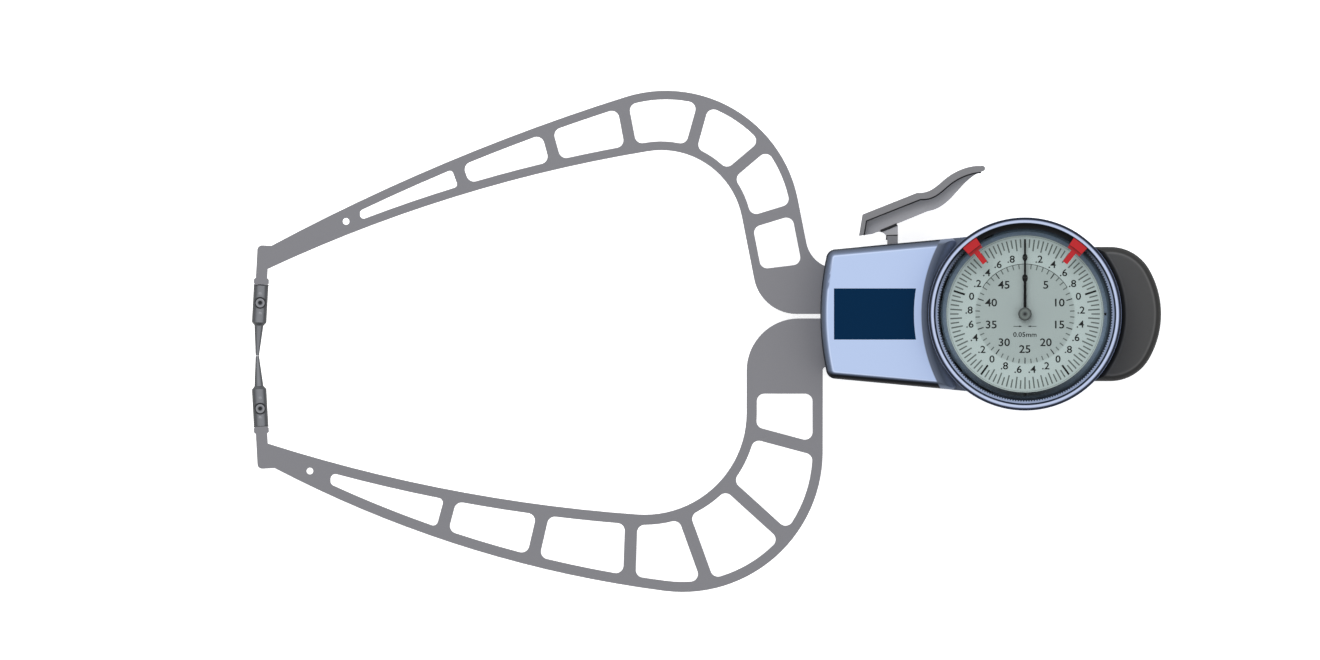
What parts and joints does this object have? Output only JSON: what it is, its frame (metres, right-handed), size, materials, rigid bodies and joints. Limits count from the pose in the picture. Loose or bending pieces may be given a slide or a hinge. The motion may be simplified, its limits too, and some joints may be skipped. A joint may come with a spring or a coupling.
{
  "type": "dial caliper gauge",
  "caption": "Hand-held dial caliper gauge: openwork fixed and hinged arms with screwed contacts, an opening lever, a turning bezel and tolerance markers.",
  "frame": {"origin": "on the dial axis, at the flat back face of the case", "axes": "+X from the dial towards the grip, away from the arms; +Y towards the lever; +Z out of the dial"},
  "size_m": [0.2842, 0.1567, 0.0297],
  "materials": {
    "case_blue": "painted, satin",
    "cover_blue": "painted, satin",
    "grip_rubber": "matt",
    "label_navy": "gloss",
    "arm_grey": "matt coating",
    "contact_grey": "ground",
    "steel": "turned",
    "screw_dark": "blackened",
    "spring_steel": "blued",
    "brass": "machined",
    "seal_black": "matt",
    "lever_grey": "matt coating",
    "hand_black": "painted, matt",
    "dial_green_grey": "printed, matt",
    "dial_ring_blue": "gloss",
    "bezel_lilac": "anodised",
    "crystal": "clear",
    "marker_red": "gloss"
  },
  "bodies": {
    "case": {"front_housing": "case_blue", "rear_cover": "cover_blue", "grip_cap": "grip_rubber", "label_plate": "label_navy", "case_seal": "seal_black", "chassis_plate": "steel", "gear_bridge": "brass", "bridge_pillars": "brass", "bridge_screws": "screw_dark", "chassis_screws": "screw_dark", "cover_screws": "screw_dark", "grip_screw": "screw_dark", "train_bushes": "brass", "fixed_arm": "arm_grey", "fixed_arm_screws": "screw_dark", "fixed_arm_dowels": "steel", "fixed_contact": "contact_grey", "fixed_contact_screw": "screw_dark", "pivot_shaft": "steel", "thrust_washers": "steel", "retaining_ring": "spring_steel", "spring_collet": "brass", "measuring_spring": "spring_steel", "open_stop": "steel", "hairspring_stud": "brass", "hairspring": "spring_steel"},
    "movable_arm": {"movable_arm": "arm_grey", "pivot_bush": "brass", "movable_contact": "contact_grey", "movable_contact_screw": "screw_dark", "toothed_sector": "brass", "sector_screws": "screw_dark", "spring_pin": "steel", "lever": "lever_grey", "lever_screws": "screw_dark"},
    "idler": {"idler_arbor": "steel", "idler_wheel": "brass", "idler_pinion": "brass"},
    "long_hand": {"centre_arbor": "steel", "long_hand": "hand_black", "hub_cap": "steel"},
    "short_hand": {"short_hand_tube": "steel", "short_hand_wheel": "brass", "short_hand": "hand_black", "hairspring_collet": "brass"},
    "bezel": {"bezel_ring": "bezel_lilac", "bezel_retaining_ring": "spring_steel", "crystal": "crystal", "crystal_seal": "seal_black", "dial_ring": "dial_ring_blue", "dial_plate": "dial_green_grey"},
    "marker_left": {"marker_left": "marker_red"},
    "marker_right": {"marker_right": "marker_red"}
  },
  "joints": [
    {"name": "arm_pivot", "type": "hinge", "parent": "case", "child": "movable_arm", "pos_m": [-0.0535, -0.00069, 0.0115], "axis": [0, 0, -1], "range_deg": [0, 15.38], "stiffness_Nm_per_rad": 0.36, "springref_deg": -31.51},
    {"name": "idler_turn", "type": "hinge", "parent": "case", "child": "idler", "pos_m": [-0.009, -0.00012, 0.0142], "axis": [0, 0, 1], "range_deg": [0, 720]},
    {"name": "long_hand_turn", "type": "hinge", "parent": "case", "child": "long_hand", "pos_m": [0, 0, 0.0245], "axis": [0, 0, -1], "range_deg": [0, 3600]},
    {"name": "short_hand_turn", "type": "hinge", "parent": "case", "child": "short_hand", "pos_m": [0, 0, 0.024], "axis": [0, 0, -1], "range_deg": [0, 360]},
    {"name": "bezel_turn", "type": "hinge", "parent": "case", "child": "bezel", "pos_m": [0, 0, 0.0265], "axis": [0, 0, -1], "continuous": true},
    {"name": "marker_left_slide", "type": "hinge", "parent": "bezel", "child": "marker_left", "pos_m": [0, 0, 0.0285], "axis": [0, 0, 1], "range_deg": [-30, 135]},
    {"name": "marker_right_slide", "type": "hinge", "parent": "bezel", "child": "marker_right", "pos_m": [0, 0, 0.0285], "axis": [0, 0, 1], "range_deg": [-135, 30]}
  ],
  "couplings": [
    {"joint": "idler_turn", "follows": "arm_pivot", "ratio": 46.8},
    {"joint": "long_hand_turn", "follows": "arm_pivot", "ratio": 234},
    {"joint": "short_hand_turn", "follows": "arm_pivot", "ratio": 23.4}
  ]
}
